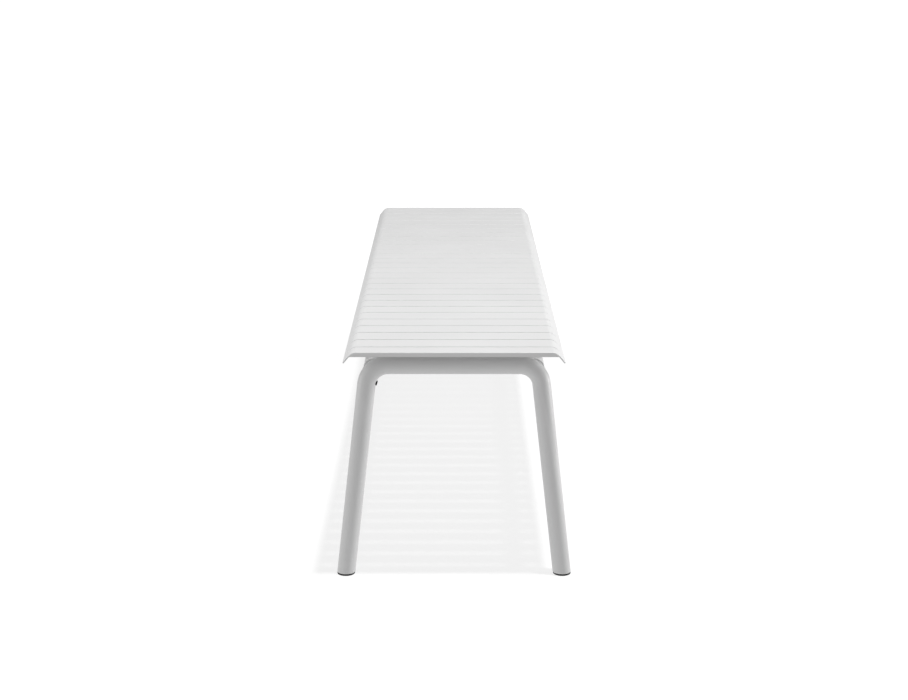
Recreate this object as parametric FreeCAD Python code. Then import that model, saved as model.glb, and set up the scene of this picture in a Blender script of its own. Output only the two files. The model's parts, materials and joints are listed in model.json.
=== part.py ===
import FreeCAD, Part
import math
import os

from FreeCAD import Vector

# Garden bench: a slotted, pressed metal seat on a welded round-tube frame.
# Millimetres. +Z up, Y along the bench, X across it, origin on the floor under the centre.

# Seat panel: one pressed sheet with sloping eaves along the sides and a lip at each end.
SEAT_LENGTH = 1650.0
SEAT_WIDTH = 418.0
SEAT_HEIGHT = 450.0
SHEET = 2.5
EAVE_START = 183.5
EAVE_RADIUS = 18.0
EAVE_ANGLE = math.radians(50.0)
LIP_DEPTH = 9.5
END_ROUND = 2.0
SLOT_COUNT = 28
SLOT_PITCH = 58.0
SLOT_WIDTH = 4.0
SLOT_END = 200.0

# Leg frames: one bent tube each, an upside-down U whose legs splay sideways.
TUBE_RADIUS = 17.5
TUBE_WALL = 2.0
FRAME_Y = 800.0
FOOT_X = 210.0
LEG_SPLAY = math.radians(6.6)
CROSSBAR_Z = 419.0
BEND_RADIUS = 42.0

# Side rails: straight tubes with closed ends, coped and welded to the backs of the bends.
RAIL_X = 154.0
RAIL_Z = 410.5
RAIL_END_Y = FRAME_Y - 8.0
RAIL_END_WALL = 3.0

# Seat bearers: channels under the seat, saddled over the rails.
BEARER_STEPS = (-12, -6, 0, 6, 12)
BEARER_WIDTH = 40.0
BEARER_HALF_LENGTH = 172.0
BEARER_BOTTOM = 418.0
BEARER_SHEET = 2.5
BEARER_ROUND = 1.5

# Liners between the bearers and the rails.
LINER = 1.5
LINER_ANGLE = math.radians(55.0)
CURVED_GAP = 0.05

# Seat fixings: a screw up through the rail into a press nut in the bearer.
SCREW_RADIUS = 3.0
SCREW_HOLE_RADIUS = 3.3
SCREW_HEAD_RADIUS = 5.5
SCREW_HEAD_HEIGHT = 3.3
SCREW_SOCKET_RADIUS = 2.3
SCREW_SOCKET_DEPTH = 2.0
SCREW_TOP = 446.0
WASHER_RADIUS = 8.0
WASHER_THICKNESS = 2.0
NUT_RADIUS = 5.5
NUT_PILOT_RADIUS = 4.25
NUT_HEIGHT = 5.5

# Foot glides: plastic plugs in the ends of the legs.
GLIDE_RIM = 4.0
GLIDE_RIM_INSET = 0.4
GLIDE_CHAMFER = 1.0
GLIDE_PLUG_LENGTH = 22.0
GLIDE_PLUG_WALL = 2.5

# Vent plug: a rubber button in the hole on the inner side of one bend.
VENT_ANGLE = math.radians(163.5)
VENT_HOLE_RADIUS = 3.5
VENT_HEAD_RADIUS = 4.8
VENT_HEAD_PROUD = 2.5
VENT_STEM_PAST_WALL = 3.0

# Derived values.
HALF_LENGTH = SEAT_LENGTH / 2
HALF_WIDTH = SEAT_WIDTH / 2
UNDERSIDE = SEAT_HEIGHT - SHEET
LIP_BOTTOM = SEAT_HEIGHT - LIP_DEPTH
TUBE_BORE = TUBE_RADIUS - TUBE_WALL
CORNER_X = FOOT_X - CROSSBAR_Z * math.tan(LEG_SPLAY)
BEND_TURN = math.pi / 2 - LEG_SPLAY
BEND_CENTRE_X = CORNER_X - BEND_RADIUS * math.tan(BEND_TURN / 2)
BEND_CENTRE_Z = CROSSBAR_Z - BEND_RADIUS
RAIL_BOTTOM = RAIL_Z - TUBE_RADIUS
BEARER_YS = [step * SLOT_PITCH for step in BEARER_STEPS]
X_AXIS, Y_AXIS, Z_AXIS = Vector(1, 0, 0), Vector(0, 1, 0), Vector(0, 0, 1)


def box(x0, x1, y0, y1, z0, z1):
    return Part.makeBox(x1 - x0, y1 - y0, z1 - z0, Vector(x0, y0, z0))


def in_section(x, z):
    """A point in the upright plane across the bench at its middle."""
    return Vector(x, 0, z)


def turned(shape, degrees=180.0):
    """A copy of the shape, turned about the bench's upright centre line."""
    copy = shape.copy()
    copy.rotate(Vector(0, 0, 0), Z_AXIS, degrees)
    return copy


def mirrored_in_x(shape):
    return shape.mirror(Vector(0, 0, 0), X_AXIS)


# ---- Seat panel -------------------------------------------------------------


def eave_line(depth):
    """Edges of the right half of the seat's section, depth below the outer surface, centre to tip."""
    centre_z = SEAT_HEIGHT - EAVE_RADIUS
    radius = EAVE_RADIUS - depth

    def on_arc(angle):
        return in_section(EAVE_START + radius * math.sin(angle), centre_z + radius * math.cos(angle))

    outer_arc_end = EAVE_START + EAVE_RADIUS * math.sin(EAVE_ANGLE)
    slope_length = (HALF_WIDTH - outer_arc_end) / math.cos(EAVE_ANGLE)
    bend_end = on_arc(EAVE_ANGLE)
    tip = bend_end + in_section(math.cos(EAVE_ANGLE), -math.sin(EAVE_ANGLE)) * slope_length
    return [
        Part.LineSegment(in_section(0, SEAT_HEIGHT - depth), on_arc(0)).toShape(),
        Part.Arc(on_arc(0), on_arc(EAVE_ANGLE / 2), bend_end).toShape(),
        Part.LineSegment(bend_end, tip).toShape(),
    ], tip


def right_half(inner_depth):
    """The right half of the seat's section, as a solid over the whole length."""
    outer, outer_tip = eave_line(0)
    inner, inner_tip = eave_line(inner_depth)
    ends = [
        Part.LineSegment(in_section(0, SEAT_HEIGHT), in_section(0, SEAT_HEIGHT - inner_depth)).toShape(),
        Part.LineSegment(outer_tip, inner_tip).toShape(),
    ]
    face = Part.Face(Part.Wire(Part.__sortEdges__(outer + inner + ends)))
    return face.extrude(Y_AXIS * SEAT_LENGTH).translated(Y_AXIS * -HALF_LENGTH)


def end_lip():
    """The lip at the front end: the seat's outer outline, filled down to the lip's bottom."""
    outer, tip = eave_line(0)
    closing = [
        Part.LineSegment(tip, in_section(0, tip.z)).toShape(),
        Part.LineSegment(in_section(0, tip.z), in_section(0, SEAT_HEIGHT)).toShape(),
    ]
    face = Part.Face(Part.Wire(Part.__sortEdges__(outer + closing)))
    half = face.extrude(Y_AXIS * SHEET).translated(Y_AXIS * -HALF_LENGTH)
    whole = half.fuse(mirrored_in_x(half))
    return whole.common(box(-HALF_WIDTH, HALF_WIDTH, -HALF_LENGTH, HALF_LENGTH, LIP_BOTTOM, SEAT_HEIGHT))


def slot(y):
    """One slot across the seat, with round ends that stop short of the eaves' edges."""
    radius = SLOT_WIDTH / 2
    end_x = SLOT_END - radius
    low = SEAT_HEIGHT - HALF_WIDTH
    height = SEAT_HEIGHT - low + SHEET
    bar = Part.makeBox(2 * end_x, SLOT_WIDTH, height, Vector(-end_x, y - radius, low))
    ends = [Part.makeCylinder(radius, height, Vector(x, y, low)) for x in (-end_x, end_x)]
    return bar.multiFuse(ends).removeSplitter()


def end_bend_edges(solid):
    """The outer edges of both ends, where the sheet turns down into the lip."""
    found = []
    for edge in solid.Edges:
        middle = edge.valueAt((edge.FirstParameter + edge.LastParameter) / 2)
        on_end = all(abs(abs(v.Point.y) - HALF_LENGTH) < CURVED_GAP for v in edge.Vertexes)
        if on_end and abs(middle.x) < EAVE_START and SEAT_HEIGHT - middle.z < CURVED_GAP:
            found.append(edge)
    return found


def seat_panel():
    half = right_half(SHEET)
    lip = end_lip()
    sheet = half.multiFuse([mirrored_in_x(half), lip, turned(lip)]).removeSplitter()
    sheet = sheet.makeFillet(END_ROUND, end_bend_edges(sheet))
    first = -(SLOT_COUNT - 1) / 2 * SLOT_PITCH
    slots = [slot(first + i * SLOT_PITCH) for i in range(SLOT_COUNT)]
    return sheet.cut(Part.makeCompound(slots))


# ---- Leg frames -------------------------------------------------------------


def bend_point(angle):
    """A point on the right bend's centre line; the angle is that of the bend's radius, from +X."""
    return in_section(BEND_CENTRE_X + BEND_RADIUS * math.cos(angle),
                BEND_CENTRE_Z + BEND_RADIUS * math.sin(angle))


def frame_envelope(radius):
    """A round bar of the given radius along the front frame's centre line, legs cut off below."""
    below_floor = -2 * TUBE_RADIUS
    foot = in_section(FOOT_X - below_floor * math.tan(LEG_SPLAY), below_floor)
    leg_top = bend_point(LEG_SPLAY)
    bar_end = bend_point(math.pi / 2)
    middle = bend_point((LEG_SPLAY + math.pi / 2) / 2)

    def left(point):
        return in_section(-point.x, point.z)

    path = Part.Wire([
        Part.LineSegment(foot, leg_top).toShape(),
        Part.Arc(leg_top, middle, bar_end).toShape(),
        Part.LineSegment(bar_end, left(bar_end)).toShape(),
        Part.Arc(left(bar_end), left(middle), left(leg_top)).toShape(),
        Part.LineSegment(left(leg_top), left(foot)).toShape(),
    ])
    section = Part.Wire(Part.makeCircle(radius, foot, leg_top - foot))
    bar = path.makePipeShell([section], True, True)
    return bar.translated(Y_AXIS * -FRAME_Y)


def above(shape, z):
    reach = 2 * FRAME_Y
    return shape.common(box(-reach, reach, -reach, reach, z, SEAT_HEIGHT))


def vent_axis():
    """Start and direction of the front vent hole, from the left bend's centre outwards."""
    start = Vector(-BEND_CENTRE_X, -FRAME_Y, BEND_CENTRE_Z)
    return start, Vector(math.cos(VENT_ANGLE), 0, math.sin(VENT_ANGLE))


def leg_frame():
    tube = frame_envelope(TUBE_RADIUS).cut(frame_envelope(TUBE_BORE))
    start, direction = vent_axis()
    hole = Part.makeCylinder(VENT_HOLE_RADIUS, BEND_RADIUS, start, direction)
    return above(tube, GLIDE_RIM).cut(hole)


def vent_plug():
    start, direction = vent_axis()
    wall_at = BEND_RADIUS - TUBE_RADIUS
    head_from = start + direction * (wall_at - VENT_HEAD_PROUD)
    head = Part.makeCylinder(VENT_HEAD_RADIUS, VENT_HEAD_PROUD + TUBE_WALL / 2, head_from, direction)
    head = head.makeFillet(VENT_HEAD_PROUD / 2, [nearest_edge(head, head_from)])
    stem_length = VENT_HEAD_PROUD + TUBE_WALL + VENT_STEM_PAST_WALL
    stem = Part.makeCylinder(VENT_HOLE_RADIUS - CURVED_GAP, stem_length, head_from, direction)
    head = head.cut(frame_envelope(TUBE_RADIUS))
    return head.fuse(stem).removeSplitter()


def nearest_edge(shape, point):
    return min((e for e in shape.Edges if e.isClosed()), key=lambda e: e.CenterOfMass.sub(point).Length)


# ---- Side rails -------------------------------------------------------------


def rail_bar(radius, x=RAIL_X, end_y=RAIL_END_Y):
    return Part.makeCylinder(radius, 2 * end_y, Vector(x, -end_y, RAIL_Z), Y_AXIS)


def side_rail():
    """The right rail; its end walls close what the bends leave open."""
    tube = rail_bar(TUBE_RADIUS).cut(rail_bar(TUBE_BORE, end_y=RAIL_END_Y - RAIL_END_WALL))
    envelope = frame_envelope(TUBE_RADIUS)
    holes = [
        Part.makeCylinder(SCREW_HOLE_RADIUS, 2 * TUBE_RADIUS, Vector(RAIL_X, y, RAIL_BOTTOM))
        for y in BEARER_YS
    ]
    tube = tube.cut(Part.makeCompound([envelope, turned(envelope)]))
    tube = tube.cut(Part.makeCompound(holes))
    return max(tube.Solids, key=lambda solid: solid.Volume)


# ---- Seat bearers and liners ------------------------------------------------


def seat_bearer(y):
    half_width = BEARER_WIDTH / 2
    outer = box(-BEARER_HALF_LENGTH, BEARER_HALF_LENGTH, -half_width, half_width,
                BEARER_BOTTOM, UNDERSIDE)
    top_edges = [
        e for e in outer.Edges
        if abs(e.CenterOfMass.z - UNDERSIDE) < CURVED_GAP and e.Length > BEARER_HALF_LENGTH
    ]
    outer = outer.makeFillet(BEARER_ROUND, top_edges)
    inner_half = half_width - BEARER_SHEET
    hollow = box(-BEARER_HALF_LENGTH, BEARER_HALF_LENGTH, -inner_half, inner_half,
                 BEARER_BOTTOM, UNDERSIDE - BEARER_SHEET)
    tools = [hollow]
    saddle_radius = TUBE_RADIUS + LINER + 2 * CURVED_GAP
    for x in (-RAIL_X, RAIL_X):
        saddle_from = Vector(x, -half_width, RAIL_Z)
        tools.append(Part.makeCylinder(saddle_radius, BEARER_WIDTH, saddle_from, Y_AXIS))
        nut_from = Vector(x, 0, UNDERSIDE - BEARER_SHEET)
        tools.append(Part.makeCylinder(NUT_PILOT_RADIUS + CURVED_GAP, BEARER_SHEET, nut_from))
    return outer.cut(Part.makeCompound(tools)).translated(Y_AXIS * y)


def saddle_liner(y):
    """A curved strip on top of the rail, under one bearer."""
    inner = TUBE_RADIUS + CURVED_GAP
    outer = inner + LINER
    start = Vector(RAIL_X, y - BEARER_WIDTH / 2, RAIL_Z)
    ring = Part.makeCylinder(outer, BEARER_WIDTH, start, Y_AXIS)
    ring = ring.cut(Part.makeCylinder(inner, BEARER_WIDTH, start, Y_AXIS))
    edge_z = RAIL_Z + inner * math.cos(LINER_ANGLE)
    strip = ring.common(box(RAIL_X - outer, RAIL_X + outer, start.y, start.y + BEARER_WIDTH,
                            edge_z, RAIL_Z + outer))
    hole = Part.makeCylinder(SCREW_HOLE_RADIUS, 2 * TUBE_RADIUS, Vector(RAIL_X, y, RAIL_Z))
    return strip.cut(hole)


# ---- Seat fixings -----------------------------------------------------------


def seat_screw(x, y):
    seat_z = RAIL_BOTTOM - WASHER_THICKNESS
    head = Part.makeCylinder(SCREW_HEAD_RADIUS, SCREW_HEAD_HEIGHT, Vector(x, y, seat_z - SCREW_HEAD_HEIGHT))
    lower = Vector(x, y, seat_z - SCREW_HEAD_HEIGHT)
    head = head.makeFillet(SCREW_HEAD_HEIGHT / 2, [nearest_edge(head, lower)])
    shank = Part.makeCylinder(SCREW_RADIUS, SCREW_TOP - seat_z, Vector(x, y, seat_z))
    corners = [
        lower + Vector(math.cos(a), math.sin(a), 0) * SCREW_SOCKET_RADIUS
        for a in (math.radians(60 * i) for i in range(7))
    ]
    socket = Part.Face(Part.makePolygon(corners)).extrude(Z_AXIS * SCREW_SOCKET_DEPTH)
    return head.fuse(shank).removeSplitter().cut(socket)


def seat_washer(x, y):
    """A saddle washer: flat below, hollowed above to the rail's curve."""
    height = WASHER_THICKNESS + TUBE_WALL
    base = Vector(x, y, RAIL_BOTTOM - WASHER_THICKNESS)
    disc = Part.makeCylinder(WASHER_RADIUS, height, base)
    disc = disc.cut(rail_bar(TUBE_RADIUS + CURVED_GAP, x))
    return disc.cut(Part.makeCylinder(SCREW_HOLE_RADIUS, height, base))


def press_nut(x, y):
    web = UNDERSIDE - BEARER_SHEET
    body = Part.makeCylinder(NUT_RADIUS, NUT_HEIGHT, Vector(x, y, web - NUT_HEIGHT))
    pilot = Part.makeCylinder(NUT_PILOT_RADIUS, BEARER_SHEET, Vector(x, y, web))
    bore = Part.makeCylinder(SCREW_RADIUS + CURVED_GAP, NUT_HEIGHT + BEARER_SHEET,
                             Vector(x, y, web - NUT_HEIGHT))
    return body.fuse(pilot).removeSplitter().cut(bore)


def at_every_fixing(make):
    return Part.makeCompound([make(x, y) for y in BEARER_YS for x in (-RAIL_X, RAIL_X)])


# ---- Foot glides ------------------------------------------------------------


def leg_core(radius, z0, z1):
    """A slanted round bar on the front right leg's axis, cut level at z0 and z1."""
    foot = Vector(FOOT_X, -FRAME_Y, 0)
    up = Vector(-math.sin(LEG_SPLAY), 0, math.cos(LEG_SPLAY))
    bar = Part.makeCylinder(radius, 2 * (z1 + TUBE_RADIUS), foot - up * TUBE_RADIUS, up)
    reach = 2 * FRAME_Y
    return bar.common(box(-reach, reach, -reach, reach, z0, z1))


def foot_glide():
    rim = leg_core(TUBE_RADIUS - GLIDE_RIM_INSET, 0, GLIDE_RIM)
    rim = rim.makeChamfer(GLIDE_CHAMFER, [min(rim.Edges, key=lambda e: e.CenterOfMass.z)])
    top = GLIDE_RIM + GLIDE_PLUG_LENGTH
    plug = leg_core(TUBE_BORE - 2 * CURVED_GAP, GLIDE_RIM, top)
    plug = plug.cut(leg_core(TUBE_BORE - GLIDE_PLUG_WALL, GLIDE_RIM, top))
    return rim.fuse(plug).removeSplitter()


# ---- Assembly ---------------------------------------------------------------


def bench():
    frame = leg_frame()
    rail = side_rail()
    glide = foot_glide()
    plug = vent_plug()
    nodes = {
        "seat_panel": seat_panel(),
        "leg_frame_front": frame,
        "leg_frame_back": turned(frame),
        "side_rail_right": rail,
        "side_rail_left": mirrored_in_x(rail),
        "foot_glide_front_right": glide,
        "foot_glide_front_left": mirrored_in_x(glide),
        "foot_glide_back_left": turned(glide),
        "foot_glide_back_right": mirrored_in_x(turned(glide)),
        "vent_plug_front": plug,
        "vent_plug_back": turned(plug),
        "seat_screws": at_every_fixing(seat_screw),
        "seat_washers": at_every_fixing(seat_washer),
        "press_nuts": at_every_fixing(press_nut),
    }
    for number, y in enumerate(BEARER_YS, start=1):
        liner = saddle_liner(y)
        nodes[f"seat_bearer_{number}"] = seat_bearer(y)
        nodes[f"saddle_liner_right_{number}"] = liner
        nodes[f"saddle_liner_left_{number}"] = mirrored_in_x(liner)
    return nodes


os.makedirs("parts", exist_ok=True)
for name, shape in bench().items():
    shape.exportStep(f"parts/{name}.step")
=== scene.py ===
import json
import math

import bmesh
import bpy
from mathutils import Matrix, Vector


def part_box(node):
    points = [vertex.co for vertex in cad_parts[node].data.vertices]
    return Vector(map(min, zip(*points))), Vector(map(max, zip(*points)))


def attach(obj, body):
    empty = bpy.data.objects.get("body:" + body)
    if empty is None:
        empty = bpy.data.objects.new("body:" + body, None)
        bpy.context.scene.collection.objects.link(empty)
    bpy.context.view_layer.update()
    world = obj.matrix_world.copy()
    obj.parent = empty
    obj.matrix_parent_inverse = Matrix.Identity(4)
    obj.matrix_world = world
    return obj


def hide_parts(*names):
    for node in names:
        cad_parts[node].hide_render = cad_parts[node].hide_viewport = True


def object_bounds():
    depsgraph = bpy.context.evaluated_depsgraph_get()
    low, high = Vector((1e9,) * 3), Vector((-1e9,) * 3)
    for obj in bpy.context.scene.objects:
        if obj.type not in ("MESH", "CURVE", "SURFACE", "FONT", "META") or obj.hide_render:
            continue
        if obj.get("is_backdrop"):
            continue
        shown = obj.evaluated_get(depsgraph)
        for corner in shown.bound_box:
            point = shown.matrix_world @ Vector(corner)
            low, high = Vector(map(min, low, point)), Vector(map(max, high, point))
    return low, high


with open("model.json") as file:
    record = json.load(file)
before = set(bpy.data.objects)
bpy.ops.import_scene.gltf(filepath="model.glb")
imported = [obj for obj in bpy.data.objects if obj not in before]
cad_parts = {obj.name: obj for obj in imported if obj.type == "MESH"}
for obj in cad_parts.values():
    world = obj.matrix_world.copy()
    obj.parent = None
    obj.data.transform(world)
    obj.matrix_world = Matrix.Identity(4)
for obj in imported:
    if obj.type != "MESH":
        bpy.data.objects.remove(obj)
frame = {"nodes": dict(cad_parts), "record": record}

CAD_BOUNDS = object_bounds()
MM = 0.001

# ---- Measures of the bench, in metres, from the frame or as the CAD has them -----------

SEAT_LOW, SEAT_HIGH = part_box("seat_panel")
RAIL_LOW, RAIL_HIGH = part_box("side_rail_right")
FRAME_LOW, FRAME_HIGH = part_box("leg_frame_front")
RIM_HIGH = FRAME_LOW.z

SHEET = 2.5 * MM
EAVE_START = 183.5 * MM
EAVE_RADIUS = 18 * MM
EAVE_ANGLE = math.radians(50)
LIP_DEPTH = 9.5 * MM
LIP_ROUND = 2.0 * MM
SLOT_COUNT = 28
SLOT_PITCH = 58 * MM
SLOT_WIDTH = 4.0 * MM
EDGE_ROUND = 0.4 * MM
SLOT_ROUND = 0.8 * MM

TUBE_RADIUS = (FRAME_HIGH.y - FRAME_LOW.y) / 2
TUBE_WALL = 2 * MM
FRAME_Y = abs(FRAME_HIGH.y + FRAME_LOW.y) / 2
CROSSBAR_Z = FRAME_HIGH.z - TUBE_RADIUS
LEG_SPLAY = math.radians(6.6)
FOOT_X = 210 * MM
BEND_RADIUS = 42 * MM
RAIL_X = (RAIL_LOW.x + RAIL_HIGH.x) / 2
RAIL_Z = (RAIL_LOW.z + RAIL_HIGH.z) / 2
RAIL_END_BACK = 8 * MM
RAIL_END_Y = FRAME_Y - RAIL_END_BACK

SEAT_TOP = SEAT_HIGH.z
HALF_WIDTH = SEAT_HIGH.x
HALF_LENGTH = SEAT_HIGH.y
LIP_BOTTOM = SEAT_TOP - LIP_DEPTH

BEND_TANGENT = BEND_RADIUS * math.tan((math.pi / 2 - LEG_SPLAY) / 2)
BEND_X = FOOT_X - CROSSBAR_Z * math.tan(LEG_SPLAY) - BEND_TANGENT
BEND_Z = CROSSBAR_Z - BEND_RADIUS

ROUND_SIDES = 64
BEND_STEPS = 28
MERGE_DISTANCE = 0.01 * MM
FINE_MERGE_DISTANCE = 0.0001 * MM


# ---- Small helpers ---------------------------------------------------------------------

SHARP_ANGLE = math.radians(35)
FLAT_ANGLE = math.radians(0.5)


def new_piece(name, vertices, faces, material, nodes=()):
    """A smooth-shaded mesh piece that rides on the bench and stands for the CAD nodes named."""
    mesh = bpy.data.meshes.new(name)
    mesh.from_pydata([tuple(v) for v in vertices], [], faces)
    mesh.validate()
    mesh.update()
    piece = bpy.data.objects.new(name, mesh)
    bpy.context.scene.collection.objects.link(piece)
    finish_piece(piece, material, nodes)
    return piece


def finish_piece(piece, material, nodes=()):
    """Give a piece its material, smooth shading, body and the CAD nodes it stands for."""
    piece.data.materials.clear()
    piece.data.materials.append(material)
    piece.data.polygons.foreach_set("use_smooth", [True] * len(piece.data.polygons))
    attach(piece, "root")
    if nodes:
        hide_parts(*nodes)


def merge_and_orient(piece, distance=MERGE_DISTANCE):
    """Merge the points that lie together, turn all faces outward and shade them smooth."""
    mesh = bmesh.new()
    mesh.from_mesh(piece.data)
    bmesh.ops.remove_doubles(mesh, verts=mesh.verts, dist=distance)
    bmesh.ops.recalc_face_normals(mesh, faces=mesh.faces)
    mesh.to_mesh(piece.data)
    mesh.free()
    piece.data.polygons.foreach_set("use_smooth", [True] * len(piece.data.polygons))


def even_shading(piece):
    """Weight the shading by face area, so that flat faces stay flat beside rounded edges."""
    normals = piece.modifiers.new("even shading", "WEIGHTED_NORMAL")
    normals.keep_sharp = False
    normals.weight = 100


def add_bevel(piece, width):
    bevel = piece.modifiers.new("rounded edges", "BEVEL")
    bevel.width = width
    bevel.segments = 2
    bevel.limit_method = "ANGLE"
    bevel.angle_limit = SHARP_ANGLE
    bevel.use_clamp_overlap = True
    bevel.miter_outer = "MITER_ARC"
    even_shading(piece)


class Rows:
    """Vertices and faces gathered as rows of points that are joined by quads."""

    def __init__(self):
        self.vertices = []
        self.faces = []

    def row(self, points):
        start = len(self.vertices)
        self.vertices.extend(points)
        return range(start, len(self.vertices))

    def join(self, first, second, closed=False):
        count = len(first)
        for i in range(count if closed else count - 1):
            j = (i + 1) % count
            self.faces.append((first[i], first[j], second[j], second[i]))

    def join_all(self, rows, closed=False):
        for first, second in zip(rows, rows[1:]):
            self.join(first, second, closed)


# ---- Materials -------------------------------------------------------------------------


class Nodes:
    """A short way to write a material's node tree."""

    def __init__(self, name):
        self.material = bpy.data.materials.new(name)
        self.material.use_nodes = True
        self.tree = self.material.node_tree
        self.shader = self.tree.nodes["Principled BSDF"]

    def add(self, kind, inputs=None, **settings):
        node = self.tree.nodes.new(kind)
        for key, value in settings.items():
            setattr(node, key, value)
        for key, value in (inputs or {}).items():
            if isinstance(value, bpy.types.NodeSocket):
                self.tree.links.new(value, node.inputs[key])
            else:
                node.inputs[key].default_value = value
        return node

    def link(self, socket, name):
        self.tree.links.new(socket, self.shader.inputs[name])

    def set(self, **values):
        for key, value in values.items():
            self.shader.inputs[key.replace("_", " ")].default_value = value

    def coordinates(self):
        return self.add("ShaderNodeTexCoord").outputs["Object"]

    def noise(self, vector, scale, detail=2.0, roughness=0.5):
        node = self.add("ShaderNodeTexNoise", {"Vector": vector, "Scale": scale, "Detail": detail,
                                               "Roughness": roughness})
        return node.outputs["Fac"]

    def remap(self, value, low, high, to_low, to_high):
        node = self.add("ShaderNodeMapRange", {"Value": value, "From Min": low, "From Max": high,
                                               "To Min": to_low, "To Max": to_high})
        return node.outputs["Result"]

    def blend(self, factor, first, second):
        """A colour between two, mixed by a factor from 0 to 1."""
        node = self.add("ShaderNodeMix", {"Factor": factor}, data_type="RGBA")
        first_input, second_input = (socket for socket in node.inputs if socket.type == "RGBA")
        first_input.default_value = (*first, 1)
        second_input.default_value = (*second, 1)
        return next(socket for socket in node.outputs if socket.type == "RGBA")

    def total(self, first, second):
        return self.add("ShaderNodeMath", {0: first, 1: second}, operation="ADD").outputs["Value"]

    def bump(self, height, strength, distance, normal=None):
        inputs = {"Height": height, "Strength": strength, "Distance": distance}
        if normal is not None:
            inputs["Normal"] = normal
        return self.add("ShaderNodeBump", inputs).outputs["Normal"]


# Noise scales are in cycles per metre, and most of the noise lies between these two values.
NOISE_LOW = 0.3
NOISE_HIGH = 0.7


def powder_coat():
    """White powder coat: faint orange peel, fine sand texture, and colour that drifts very slightly."""
    dull_white = (0.79, 0.79, 0.79)
    bright_white = (0.815, 0.815, 0.815)
    nodes = Nodes("powder_coat_white")
    place = nodes.coordinates()
    drift = nodes.noise(place, scale=7.0, detail=3.0)
    fleck = nodes.noise(place, scale=900.0, detail=1.0)
    peel = nodes.noise(place, scale=380.0, detail=2.0, roughness=0.45)
    sand = nodes.noise(place, scale=1700.0, detail=1.0)
    tone = nodes.total(nodes.remap(drift, NOISE_LOW, NOISE_HIGH, 0.0, 0.6),
                       nodes.remap(fleck, 0.35, 0.65, 0.0, 0.4))
    nodes.link(nodes.blend(tone, dull_white, bright_white), "Base Color")
    rough = nodes.total(nodes.remap(peel, NOISE_LOW, NOISE_HIGH, 0.40, 0.48),
                        nodes.remap(drift, NOISE_LOW, NOISE_HIGH, -0.02, 0.03))
    nodes.link(rough, "Roughness")
    orange_peel = nodes.bump(peel, strength=0.5, distance=0.09 * MM)
    nodes.link(nodes.bump(sand, strength=0.4, distance=0.03 * MM, normal=orange_peel), "Normal")
    nodes.set(Specular_IOR_Level=0.5, IOR=1.5)
    return nodes.material


def dark_plastic(name, greys, roughness, grain, depth):
    """Matt black or dark grey: a cloudy grey between two and a moulded grain of a scale and depth."""
    nodes = Nodes(name)
    place = nodes.coordinates()
    cloud = nodes.noise(place, scale=60.0, detail=3.0)
    fine = nodes.noise(place, scale=grain, detail=2.0)
    dark, light = ((grey, grey, grey) for grey in greys)
    nodes.link(nodes.blend(nodes.remap(cloud, NOISE_LOW, NOISE_HIGH, 0.0, 1.0), dark, light), "Base Color")
    nodes.link(nodes.remap(fine, NOISE_LOW, NOISE_HIGH, *roughness), "Roughness")
    nodes.link(nodes.bump(fine, strength=0.35, distance=depth), "Normal")
    nodes.set(IOR=1.48)
    return nodes.material


def stainless_steel():
    """Plain stainless steel with fine turning lines, drawn out across Z."""
    dull_steel = (0.55, 0.55, 0.56)
    bright_steel = (0.66, 0.66, 0.66)
    nodes = Nodes("stainless_steel")
    place = nodes.coordinates()
    squeezed = nodes.add("ShaderNodeMapping", {"Vector": place, "Scale": (1.0, 1.0, 14.0)}).outputs["Vector"]
    lines = nodes.noise(squeezed, scale=500.0, detail=3.0)
    cloud = nodes.noise(place, scale=90.0, detail=2.0)
    nodes.link(nodes.blend(cloud, dull_steel, bright_steel), "Base Color")
    nodes.link(nodes.remap(lines, NOISE_LOW, NOISE_HIGH, 0.24, 0.38), "Roughness")
    nodes.link(nodes.bump(lines, strength=0.15, distance=0.03 * MM), "Normal")
    nodes.set(Metallic=1.0)
    return nodes.material


MATERIALS = {
    "powder_coat": powder_coat(),
    "glide": dark_plastic("glide_plastic", (0.012, 0.022), (0.42, 0.58), grain=1500.0, depth=0.08 * MM),
    "liner": dark_plastic("liner_nylon", (0.06, 0.085), (0.5, 0.62), grain=900.0, depth=0.05 * MM),
    "vent_rubber": dark_plastic("vent_rubber", (0.008, 0.014), (0.6, 0.75), grain=700.0, depth=0.05 * MM),
    "stainless": stainless_steel(),
}
WHITE = MATERIALS["powder_coat"]


# ---- Seat sheet ------------------------------------------------------------------------
# A place on the sheet is u, y and a depth: u runs along its section from the middle of the seat,
# y along the bench, and the depth is measured square to the outer face.

BEND_END_X = EAVE_START + EAVE_RADIUS * math.sin(EAVE_ANGLE)
BEND_END_Z = SEAT_TOP - EAVE_RADIUS * (1 - math.cos(EAVE_ANGLE))
SLOPE_U = EAVE_START + EAVE_RADIUS * EAVE_ANGLE
EDGE_U = SLOPE_U + (HALF_WIDTH - BEND_END_X) / math.cos(EAVE_ANGLE)
# The lips run out where the inner face of the sloping eaves comes down to the lips' lower edge. The
# slots' round ends have their centres there too.
LIP_END_DROP = BEND_END_Z - LIP_BOTTOM - SHEET * math.cos(EAVE_ANGLE)
LIP_END_U = SLOPE_U + LIP_END_DROP / math.sin(EAVE_ANGLE)
BAND_U = LIP_END_U + 6 * MM
FULL_LIP = 5 * MM
LIP_FILLET = 1.2 * MM
FLAT_STEPS = 4
ARC_STEPS = 14
EDGE_STEPS = 3
TURN_STEPS = 8
HALF_CELL = SLOT_PITCH / 2
BAND_YS = [HALF_CELL * share for share in (-1, -1 / 2, -1 / 6, 0, 1 / 6, 1 / 2, 1)]
SLOT_YS = [(i - (SLOT_COUNT - 1) / 2) * SLOT_PITCH for i in range(SLOT_COUNT)]
QUARTER = [math.pi / 2 * i / EDGE_STEPS for i in range(EDGE_STEPS + 1)]
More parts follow.
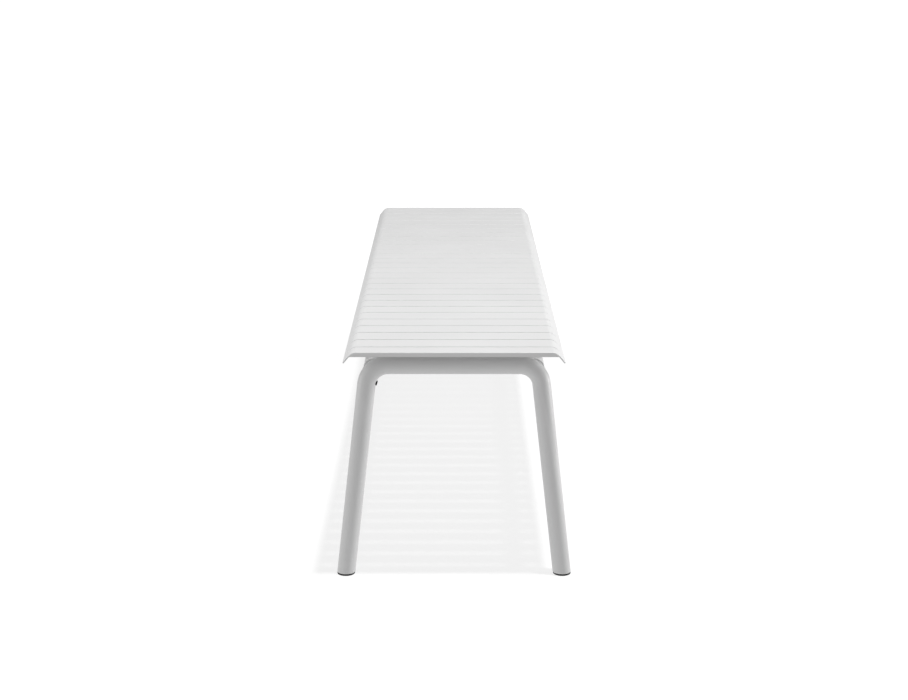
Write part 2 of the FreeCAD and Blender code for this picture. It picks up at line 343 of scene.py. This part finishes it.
HALF_TURN = [math.pi * (i / TURN_STEPS - 1 / 2) for i in range(TURN_STEPS + 1)]


def sheet_tilt(u):
    """How far the sheet is turned down from level at a place along its section."""
    return min(max((abs(u) - EAVE_START) / EAVE_RADIUS, 0.0), EAVE_ANGLE)


def on_sheet(u, y, depth=0.0):
    """The point of space at a place on the sheet."""
    side = math.copysign(1, u)
    tilt = sheet_tilt(u)
    along = max(abs(u) - SLOPE_U, 0.0)
    x = min(abs(u), EAVE_START) + EAVE_RADIUS * math.sin(tilt) + along * math.cos(EAVE_ANGLE)
    z = SEAT_TOP - EAVE_RADIUS * (1 - math.cos(tilt)) - along * math.sin(EAVE_ANGLE)
    return Vector((side * (x - depth * math.sin(tilt)), y, z - depth * math.cos(tilt)))


def cut_edge(radius, thickness):
    """Insets and depths round a cut edge, from the outer face to the inner one."""
    over = [(radius * (1 - math.sin(a)), radius * (1 - math.cos(a))) for a in QUARTER]
    under = [(EDGE_ROUND * (1 - math.cos(a)), thickness - EDGE_ROUND * (1 - math.sin(a)))
             for a in QUARTER]
    return over + under


def end_edge(u):
    """Insets and depths round the sheet's end: the bend, the lip, its lower edge and its back."""
    depth = max((on_sheet(u, 0).z - LIP_BOTTOM) / math.cos(sheet_tilt(u)), SHEET)
    back = depth - SHEET
    bend = EDGE_ROUND + (LIP_ROUND - EDGE_ROUND) * min(back / (FULL_LIP - SHEET), 1.0)
    lower = min(EDGE_ROUND, back / 2)
    root = min(LIP_FILLET, back / 2)
    behind = [(SHEET - lower * (1 - math.sin(a)), depth - lower * (1 - math.cos(a))) for a in QUARTER]
    behind += [(SHEET + root * (1 - math.cos(a)), SHEET + root * (1 - math.sin(a))) for a in QUARTER]
    return cut_edge(bend, depth) + behind


def slot_columns():
    """Places along the section where the strips between the slots have vertices."""
    right = [EAVE_START * i / FLAT_STEPS for i in range(1, FLAT_STEPS + 1)]
    right += [EAVE_START + EAVE_RADIUS * EAVE_ANGLE * i / ARC_STEPS for i in range(1, ARC_STEPS + 1)]
    right.append(LIP_END_U)
    return [-u for u in reversed(right)] + [0.0] + right


def slot_loop(y, inset):
    """Places round a slot with round ends, at a distance outside its walls."""
    columns = slot_columns()
    reach = SLOT_WIDTH / 2 + inset
    turn = [(LIP_END_U + reach * math.cos(a), y + reach * math.sin(a)) for a in HALF_TURN[1:-1]]
    far_wall = [(u, y + reach) for u in columns]
    near_wall = [(u, y - reach) for u in reversed(columns)]
    return far_wall + turn[::-1] + near_wall + [(-u, v) for u, v in turn]


def border_loop(step):
    """Places and depths round the whole sheet, at one step of its edge's section."""
    columns = [-EDGE_U, -BAND_U] + slot_columns() + [BAND_U, EDGE_U]
    micrometre_digits = 6
    side_ys = sorted({round(y + v, micrometre_digits) for y in SLOT_YS for v in BAND_YS})
    side_inset, side_depth = end_edge(EDGE_U)[step]
    front = []
    for u in columns:
        inset, depth = end_edge(u)[step]
        reach = min(abs(u), EDGE_U - side_inset)
        front.append((math.copysign(reach, u), inset - HALF_LENGTH, depth))
    right = [(EDGE_U - side_inset, y, side_depth) for y in side_ys]
    return front + right + [(-u, -y, d) for u, y, d in front] + [(-u, -y, d) for u, y, d in right]


def sheet_face(mesh, depth, step, slot_round):
    """One face of the sheet: strips between slots, bands round the slots' ends, and the two ends."""
    hole = SLOT_WIDTH / 2 + slot_round
    edge_u = EDGE_U - end_edge(EDGE_U)[step][0]
    columns = slot_columns()

    def row(places):
        return mesh.row([on_sheet(u, y, depth) for u, y in places])

    for y in SLOT_YS:
        for side in (-1, 1):
            near = [(u, y + side * hole) for u in columns]
            far = [(u, y + side * HALF_CELL) for u in columns]
            mesh.join(row(near), row(far))
            arc = [(side * (LIP_END_U + hole * math.cos(a)), y + hole * math.sin(a))
                   for a in HALF_TURN]
            band = [(side * BAND_U, y + v) for v in BAND_YS]
            corners = [(side * LIP_END_U, y + v) for v in (-HALF_CELL, HALF_CELL)]
            mesh.join(row(arc), row(corners[:1] + band + corners[1:]))
            mesh.join(row(band), row([(side * edge_u, y + v) for v in BAND_YS]))
    last = SLOT_YS[-1] + HALF_CELL
    whole = [-EDGE_U, -BAND_U] + columns + [BAND_U, EDGE_U]
    for end in (-1, 1):
        inner = [(math.copysign(min(abs(u), edge_u), u), end * last) for u in whole]
        outer = [(v[0], end * (HALF_LENGTH - end_edge(u)[step][0])) for u, v in zip(whole, inner)]
        mesh.join(row(inner), row(outer))


def seat_sheet():
    """The slotted sheet with its eaves and lips, all edges rounded."""
    mesh = Rows()
    steps = len(end_edge(0.0))
    sheet_face(mesh, 0.0, 0, SLOT_ROUND)
    sheet_face(mesh, SHEET, steps - 1, EDGE_ROUND)
    for y in SLOT_YS:
        walls = [mesh.row([on_sheet(u, v, depth) for u, v in slot_loop(y, inset)])
                 for inset, depth in cut_edge(SLOT_ROUND, SHEET)]
        mesh.join_all(walls, closed=True)
    border = [mesh.row([on_sheet(*place) for place in border_loop(step)]) for step in range(steps)]
    mesh.join_all(border, closed=True)
    seat = new_piece("seat_sheet", mesh.vertices, mesh.faces, WHITE, ["seat_panel"])
    merge_and_orient(seat)
    even_shading(seat)


# ---- Leg frames ------------------------------------------------------------------------


def frame_path():
    """Points and directions along a frame's centre line, right foot to left foot, in its own plane."""
    up = Vector((-math.sin(LEG_SPLAY), 0, math.cos(LEG_SPLAY)))
    right = [(Vector((FOOT_X, 0, 0)), up)]
    for i in range(BEND_STEPS + 1):
        angle = LEG_SPLAY + (math.pi / 2 - LEG_SPLAY) * i / BEND_STEPS
        out = Vector((math.cos(angle), 0, math.sin(angle)))
        point = Vector((BEND_X, 0, BEND_Z)) + out * BEND_RADIUS
        right.append((point, Vector((-math.sin(angle), 0, math.cos(angle)))))
    left = [(Vector((-p.x, 0, p.z)), Vector((d.x, 0, -d.z))) for p, d in reversed(right)]
    return right + left


def tube_ring(point, direction, radius, level=None):
    """A ring round the tube. With level, it is slid along the tube to lie flat at that height."""
    side = Vector((0, 1, 0))
    out = direction.cross(side)
    ring = []
    for i in range(ROUND_SIDES):
        angle = 2 * math.pi * i / ROUND_SIDES
        p = point + (out * math.cos(angle) + side * math.sin(angle)) * radius
        if level is not None:
            p += direction * ((level - p.z) / direction.z)
        ring.append(p)
    return ring


def leg_frame(name, node, turned):
    """The bent tube, with its wall showing at the open ends of the legs."""
    path = frame_path()
    edge = 0.5 * MM
    chamfer = 0.3 * edge
    bore = TUBE_RADIUS - TUBE_WALL
    inside = RIM_HIGH + 12 * MM
    right_rim, left_rim = ([
        tube_ring(*foot, bore, inside),
        tube_ring(*foot, bore, RIM_HIGH + edge),
        tube_ring(*foot, bore + edge, RIM_HIGH),
        tube_ring(*foot, TUBE_RADIUS - edge, RIM_HIGH),
        tube_ring(*foot, TUBE_RADIUS - chamfer, RIM_HIGH + chamfer),
        tube_ring(*foot, TUBE_RADIUS, RIM_HIGH + edge),
    ] for foot in (path[0], path[-1]))
    body = [tube_ring(point, direction, TUBE_RADIUS) for point, direction in path[1:-1]]
    sign = -1 if turned else 1
    mesh = Rows()
    rows = [mesh.row([Vector((sign * v.x, sign * (v.y - FRAME_Y), v.z)) for v in ring])
            for ring in right_rim + body + left_rim[::-1]]
    mesh.join_all(rows, closed=True)
    merge_and_orient(new_piece(name, mesh.vertices, mesh.faces, WHITE, [node]))


# ---- Side rails and their welds --------------------------------------------------------


def distance_to_frame_line(x, z):
    """How far a point in the frame's plane is from the tube's centre line, near the right bend."""
    dx, dz = x - BEND_X, z - BEND_Z
    angle = math.atan2(dz, dx)
    if angle > math.pi / 2:
        return abs(z - CROSSBAR_Z)
    if angle < LEG_SPLAY:
        return abs(dx * math.cos(LEG_SPLAY) + dz * math.sin(LEG_SPLAY) - BEND_RADIUS)
    return abs(math.hypot(dx, dz) - BEND_RADIUS)


def cope_y(x, z):
    """How far out along the bench the rail's wall reaches before it meets the bend."""
    away = distance_to_frame_line(x, z)
    depth = math.sqrt(max(TUBE_RADIUS ** 2 - away ** 2, 0.0))
    return min(FRAME_Y - depth, RAIL_END_Y)


def rail_point(angle, radius):
    """A point of the right rail's section, round its axis from +X."""
    return RAIL_X + radius * math.cos(angle), RAIL_Z + radius * math.sin(angle)


def rail_circle(radius):
    return [rail_point(2 * math.pi * i / ROUND_SIDES, radius) for i in range(ROUND_SIDES)]


def side_rail(side, name, node):
    """A round tube whose ends are cut to the bends, and closed where a bend leaves them open."""
    sunk = 0.4 * MM
    stations = 12
    cap_rings = 10
    edge = 0.8 * MM

    def ring(radius, back=0.0):
        return [(x, z, cope_y(x, z) + sunk - back) for x, z in rail_circle(radius)]

    cap = [ring((TUBE_RADIUS - edge) * i / cap_rings) for i in range(cap_rings + 1)]
    cap += [ring(TUBE_RADIUS - edge * (1 - math.sin(a)), edge * (1 - math.cos(a)))
            for a in (math.pi / 6, math.pi / 3)]
    body = ring(TUBE_RADIUS, edge)
    shares = [2 * i / stations - 1 for i in range(stations + 1)]
    stretches = [(loop, -1) for loop in cap] + [(body, share) for share in shares]
    stretches += [(loop, 1) for loop in reversed(cap)]
    mesh = Rows()
    rows = [mesh.row([Vector((side * x, y * share, z)) for x, z, y in loop]) for loop, share in stretches]
    mesh.join_all(rows, closed=True)
    merge_and_orient(new_piece(name, mesh.vertices, mesh.faces, WHITE, [node]))


def weld_line():
    """The weld's path where the right rail meets the back of the front frame's bend, mirrored to Y > 0.

    It follows the rail's rim where that meets the bend, and the bend's side across the rail's end face.
    """
    steps = 240
    inward_step = 0.05 * MM
    reach = math.sqrt(TUBE_RADIUS ** 2 - RAIL_END_BACK ** 2)
    line = []
    for i in range(steps):
        angle = 2 * math.pi * i / steps
        radius = TUBE_RADIUS
        while distance_to_frame_line(*rail_point(angle, radius)) > reach:
            radius -= inward_step
        x, z = rail_point(angle, radius)
        line.append((Vector((x, cope_y(x, z), z)), Vector((math.cos(angle), 0, math.sin(angle)))))
    return line


def ripple_swell(place, radius, ripple):
    """The bead's radius at a place counted in ripples: each one starts full and runs out flat."""
    phase = place % 1.0
    return radius + ripple * (1 - phase) * math.sin(math.pi * phase)


def weld_bead(side, end, name):
    """A weld bead where the rail meets the bend, with the ripples of a hand weld."""
    sides = 12
    ripples = 46
    radius = 1.7 * MM
    ripple = 0.6 * MM
    line = weld_line()
    steps = len(line)
    mesh = Rows()
    rows = []
    for i, (point, out) in enumerate(line):
        along = (line[(i + 1) % steps][0] - line[i - 1][0]).normalized()
        other = along.cross(out).normalized()
        outward = other.cross(along).normalized()
        swell = ripple_swell(i / steps * ripples, radius, ripple)
        ring = []
        for k in range(sides):
            angle = 2 * math.pi * k / sides
            p = point + (outward * math.cos(angle) + other * math.sin(angle)) * swell
            ring.append(Vector((side * p.x, end * p.y, p.z)))
        rows.append(mesh.row(ring))
    mesh.join_all(rows + rows[:1], closed=True)
    bead = new_piece(name, mesh.vertices, mesh.faces, WHITE)
    merge_and_orient(bead, FINE_MERGE_DISTANCE)


WELD_SHARES = (-0.84, -0.42, 0.0, 0.42, 0.84)


def bearer_welds(node, name):
    """Short fillet welds along both walls of a bearer, where they meet the seat."""
    low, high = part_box(node)
    radius = 2.2 * MM
    ripple = 0.7 * MM
    tip = 0.02 * MM
    length = 24 * MM
    steps = 54
    sides = 10
    ripples = 13
    level = high.z + SHEET / 2
    mesh = Rows()
    for y in (low.y, high.y):
        for share in WELD_SHARES:
            rows = []
            for i in range(steps + 1):
                t = 2 * i / steps - 1
                taper = math.sqrt(max(1 - t ** 6, 0.0))
                swell = max(taper * ripple_swell(i / steps * ripples, radius, ripple), tip)
                x = share * high.x + t * length / 2
                angles = [2 * math.pi * k / sides for k in range(sides)]
                rows.append(mesh.row([Vector((x, y + swell * math.cos(angle),
                                              min(high.z + swell * math.sin(angle), level)))
                                      for angle in angles]))
            mesh.join_all(rows, closed=True)
            mesh.faces.append(tuple(rows[0]))
            mesh.faces.append(tuple(rows[-1]))
    welds = new_piece(name, mesh.vertices, mesh.faces, WHITE)
    merge_and_orient(welds, FINE_MERGE_DISTANCE)


# ---- Small pieces, from the CAD's own shapes with their edges rounded ------------------


def rounded_copy(node, slot, width):
    """A copy of a CAD node's mesh with merged faces and rounded edges, which stands for the node."""
    source = frame["nodes"][node]
    mesh = bmesh.new()
    mesh.from_mesh(source.data)
    bmesh.ops.remove_doubles(mesh, verts=mesh.verts, dist=0.002 * MM)
    bmesh.ops.dissolve_limit(mesh, angle_limit=FLAT_ANGLE, verts=mesh.verts, edges=mesh.edges)
    bmesh.ops.recalc_face_normals(mesh, faces=mesh.faces)
    data = bpy.data.meshes.new(node + "_finished")
    mesh.to_mesh(data)
    mesh.free()
    piece = bpy.data.objects.new(node + "_finished", data)
    bpy.context.scene.collection.objects.link(piece)
    finish_piece(piece, MATERIALS[slot], [node])
    add_bevel(piece, width)


EDGE_WIDTHS = {
    "seat_bearer": 0.5 * MM,
    "saddle_liner": 0.25 * MM,
    "foot_glide": 0.35 * MM,
    "vent_plug": 0.15 * MM,
    "seat_screws": 0.2 * MM,
    "seat_washers": 0.2 * MM,
    "press_nuts": 0.2 * MM,
}


def edge_width(node):
    """How wide a CAD node's rounded edges are, or None for a node that a new mesh replaces."""
    return next((w for stem, w in EDGE_WIDTHS.items() if node.startswith(stem)), None)


def build_bench():
    """Every visible piece of the bench."""
    seat_sheet()
    leg_frame("leg_tube_front", "leg_frame_front", False)
    leg_frame("leg_tube_back", "leg_frame_back", True)
    side_rail(1, "rail_tube_right", "side_rail_right")
    side_rail(-1, "rail_tube_left", "side_rail_left")
    for side, side_name in ((1, "right"), (-1, "left")):
        for end, end_name in ((-1, "front"), (1, "back")):
            weld_bead(side, end, f"rail_weld_{end_name}_{side_name}")
    for entry in frame["record"]["subparts"]:
        node = entry["node"]
        width = edge_width(node)
        if width is not None:
            rounded_copy(node, entry["material_slot"], width)
        if node.startswith("seat_bearer"):
            bearer_welds(node, node.replace("seat_bearer", "bearer_welds"))


# ---- Camera, floor and light -----------------------------------------------------------

CAMERA_BACK = 3.0602
CAMERA_HEIGHT = 1.2296
CAMERA_DOWN = math.radians(14.216)
CAMERA_LENS = 67.01
CAMERA_SENSOR = 36.0
CAMERA_CLIP = 200.0
FLOOR_RADIUS = 80.0
FLOOR_SIDES = 96
BOUNCE_DROP = 0.002
DOME_RADIUS = 0.99 * FLOOR_RADIUS
GLOW_FROM = 1.0
GLOW_TO = 2.4
FLOOR_BASE = 0.25
FLOOR_GLOW = 0.775
BOUNCE_BASE = 0.35
BOUNCE_GLOW = 0.54
WHITE_GLOW = 1.02
WORLD_STRENGTH = 0.28


def add_camera():
    data = bpy.data.cameras.new("camera")
    camera = bpy.data.objects.new("camera", data)
    bpy.context.scene.collection.objects.link(camera)
    data.sensor_width = CAMERA_SENSOR
    data.lens = CAMERA_LENS
    data.clip_end = CAMERA_CLIP
    camera.location = (0, -HALF_LENGTH - CAMERA_BACK, CAMERA_HEIGHT)
    camera.rotation_euler = (math.pi / 2 - CAMERA_DOWN, 0, 0)
    bpy.context.scene.camera = camera


def stage_disc(name, z, material):
    mesh = bmesh.new()
    bmesh.ops.create_circle(mesh, cap_ends=True, segments=FLOOR_SIDES, radius=FLOOR_RADIUS)
    data = bpy.data.meshes.new(name)
    mesh.to_mesh(data)
    mesh.free()
    disc = bpy.data.objects.new(name, data)
    disc.location.z = z
    data.materials.append(material)
    bpy.context.scene.collection.objects.link(disc)
    disc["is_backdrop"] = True
    return disc


def glowing(name, base, glow, far_glow=None):
    """A plain pale stage surface that glows, at one strength or more strongly far from the bench."""
    nodes = Nodes(name)
    nodes.set(Base_Color=(base, base, base, 1), Emission_Color=(1, 1, 1, 1), Emission_Strength=glow,
              Roughness=1.0, Specular_IOR_Level=0.0)
    if far_glow is not None:
        length = nodes.add("ShaderNodeVectorMath", {0: nodes.coordinates()}, operation="LENGTH")
        away = length.outputs["Value"]
        nodes.link(nodes.remap(away, GLOW_FROM, GLOW_TO, glow, far_glow), "Emission Strength")
    return nodes.material


def add_stage():
    """The floor that is seen, a dimmer one just under it that throws light back up, and a white dome."""
    seen = stage_disc("floor", 0.0, glowing("floor_seen", FLOOR_BASE, FLOOR_GLOW, WHITE_GLOW))
    bounce = stage_disc("floor_bounce", -BOUNCE_DROP, glowing("floor_bounce", BOUNCE_BASE, BOUNCE_GLOW))
    seen.visible_diffuse = False
    seen.visible_glossy = False
    bounce.visible_camera = False
    mesh = bmesh.new()
    bmesh.ops.create_uvsphere(mesh, u_segments=48, v_segments=24, radius=DOME_RADIUS)
    data = bpy.data.meshes.new("backdrop")
    mesh.to_mesh(data)
    mesh.free()
    data.materials.append(glowing("backdrop_white", 0.0, WHITE_GLOW))
    dome = bpy.data.objects.new("backdrop", data)
    bpy.context.scene.collection.objects.link(dome)
    dome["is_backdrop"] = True
    for kind in ("diffuse", "glossy", "transmission", "shadow"):
        setattr(dome, f"visible_{kind}", False)


def area_light(name, shape, place, target, size, power):
    data = bpy.data.lights.new(name, "AREA")
    data.shape = shape
    data.size = size
    data.energy = power
    light = bpy.data.objects.new(name, data)
    bpy.context.scene.collection.objects.link(light)
    light.location = place
    light.rotation_euler = (Vector(target) - Vector(place)).to_track_quat("-Z", "Y").to_euler()
    light.visible_camera = False


def add_light():
    world = bpy.data.worlds.new("studio")
    bpy.context.scene.world = world
    world.use_nodes = True
    background = world.node_tree.nodes["Background"]
    background.inputs["Color"].default_value = (1, 1, 1, 1)
    background.inputs["Strength"].default_value = WORLD_STRENGTH
    area_light("overhead", "DISK", (0.57, -1.08, 5.6), (0, 0, SEAT_TOP), size=0.3, power=222)
    area_light("right_side", "SQUARE", (3.1, -0.05, 0.35), (0.1, -0.8, 0.25), size=0.8, power=44)
    area_light("left_side", "SQUARE", (-2.6, -0.75, 0.5), (0, -0.8, 0.3), size=1.2, power=13)


def write_sizes():
    boxes = {"cad": CAD_BOUNDS, "visual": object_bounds()}
    {name: [list(low), list(high)] for name, (low, high) in boxes.items()}


build_bench()
add_camera()
add_stage()
add_light()
bpy.context.scene.view_settings.view_transform = "Standard"
write_sizes()
